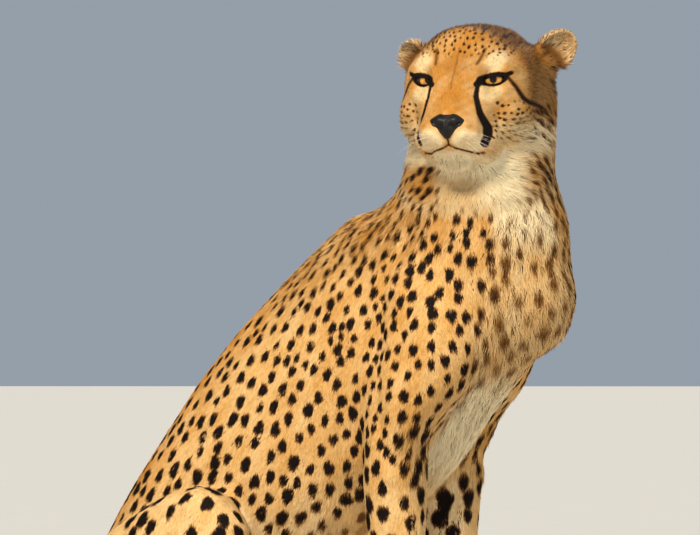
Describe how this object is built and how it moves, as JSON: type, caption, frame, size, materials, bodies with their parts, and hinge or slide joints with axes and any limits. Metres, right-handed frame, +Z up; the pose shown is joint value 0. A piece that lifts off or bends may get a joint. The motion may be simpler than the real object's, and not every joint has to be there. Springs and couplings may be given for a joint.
{
  "type": "cheetah model",
  "caption": "Life-size sitting cheetah with straight forelegs, folded haunches, its tail laid round on the floor and its head turned to its right.",
  "frame": {"origin": "middle of the base of the bounding box, on the floor", "axes": "+Z up, along the longest side of the bounding box; the trunk and forelegs face -Y; +X is the animal's left"},
  "size_m": [0.4542, 0.745, 0.8732],
  "materials": {
    "coat_tan": "short dense fur, tan with dark brown-black spots",
    "coat_cream": "soft cream fur",
    "nose_leather": "moist black nose leather, fairly glossy",
    "eye_amber": "amber iris with a round dark pupil under a clear wet surface",
    "claw_horn": "dark smooth horn"
  },
  "bodies": {
    "root": {"claw_front_left_1": "claw_horn", "claw_front_left_2": "claw_horn", "claw_front_left_3": "claw_horn", "claw_front_left_4": "claw_horn", "claw_front_right_1": "claw_horn", "claw_front_right_2": "claw_horn", "claw_front_right_3": "claw_horn", "claw_front_right_4": "claw_horn", "claw_hind_left_1": "claw_horn", "claw_hind_left_2": "claw_horn", "claw_hind_left_3": "claw_horn", "claw_hind_left_4": "claw_horn", "claw_hind_right_1": "claw_horn", "claw_hind_right_2": "claw_horn", "claw_hind_right_3": "claw_horn", "claw_hind_right_4": "claw_horn", "ear_left": "coat_cream", "ear_right": "coat_cream", "eye_left": "eye_amber", "eye_right": "eye_amber", "foot_left": "coat_tan", "foot_right": "coat_tan", "forearm_left": "coat_tan", "forearm_right": "coat_tan", "head": "coat_tan", "neck": "coat_tan", "nose": "nose_leather", "paw_front_left": "coat_tan", "paw_front_right": "coat_tan", "shank_left": "coat_tan", "shank_right": "coat_tan", "tail_base": "coat_tan", "tail_middle": "coat_tan", "tail_tip": "coat_cream", "thigh_left": "coat_tan", "thigh_right": "coat_tan", "trunk": "coat_tan", "upper_arm_left": "coat_tan", "upper_arm_right": "coat_tan"}
  },
  "joints": []
}
